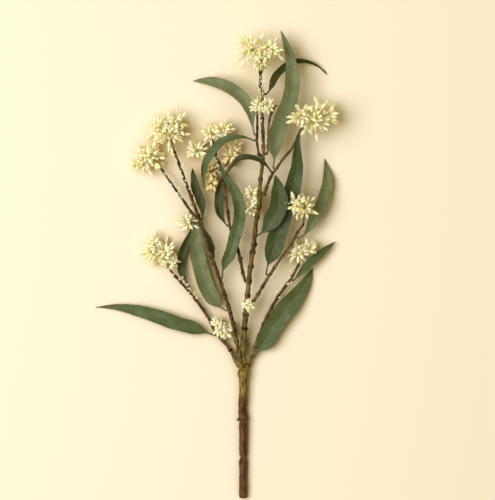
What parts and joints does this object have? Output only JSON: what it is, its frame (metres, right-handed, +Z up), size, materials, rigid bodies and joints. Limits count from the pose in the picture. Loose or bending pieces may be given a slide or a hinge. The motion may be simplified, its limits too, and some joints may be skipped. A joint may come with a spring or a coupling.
{
  "type": "flowering eucalyptus branch",
  "caption": "Cut branch lying on its side: a forked woody stem with long sickle-shaped leaves and umbels of slender cream flower buds.",
  "frame": {"origin": "on the surface that the branch lies on, under the middle of its outline", "axes": "+Y along the stem from the cut end to the crown, +X to its right, +Z up from the surface"},
  "size_m": [0.299, 0.5846, 0.0534],
  "materials": {
    "brown_bark": "matte, knotted",
    "green_bark": "matte, young",
    "sage_leaf": "waxy satin",
    "olive_leaf": "waxy satin",
    "flower_bud": "soft matte"
  },
  "bodies": {
    "root": {"crown_twig": "green_bark", "flowers_centre": "flower_bud", "flowers_crown": "flower_bud", "flowers_far_left": "flower_bud", "flowers_fork_left": "flower_bud", "flowers_inner_left": "flower_bud", "flowers_leader": "flower_bud", "flowers_leader_low": "flower_bud", "flowers_left": "flower_bud", "flowers_left_small": "flower_bud", "flowers_low_left": "flower_bud", "flowers_rear_lower": "flower_bud", "flowers_rear_upper": "flower_bud", "flowers_right": "flower_bud", "flowers_right_lower": "flower_bud", "flowers_right_upper": "flower_bud", "flowers_top_side": "flower_bud", "inner_left_shoot": "brown_bark", "leader": "green_bark", "leaf_arched": "sage_leaf", "leaf_centre": "sage_leaf", "leaf_centre_rear": "olive_leaf", "leaf_crescent": "olive_leaf", "leaf_crown": "sage_leaf", "leaf_crown_rear": "olive_leaf", "leaf_inner_left": "olive_leaf", "leaf_left_long": "sage_leaf", "leaf_left_rear": "olive_leaf", "leaf_low_left": "sage_leaf", "leaf_low_right": "sage_leaf", "leaf_low_right_small": "sage_leaf", "leaf_right_front": "sage_leaf", "leaf_right_long": "sage_leaf", "leaf_right_outer": "sage_leaf", "leaf_sliver": "olive_leaf", "leaf_upper_left": "sage_leaf", "left_shoot": "brown_bark", "left_side_twig": "brown_bark", "low_left_shoot": "brown_bark", "low_right_shoot": "brown_bark", "main_stem": "brown_bark", "right_shoot": "green_bark", "top_side_shoot": "brown_bark", "upper_right_shoot": "green_bark"}
  },
  "joints": []
}
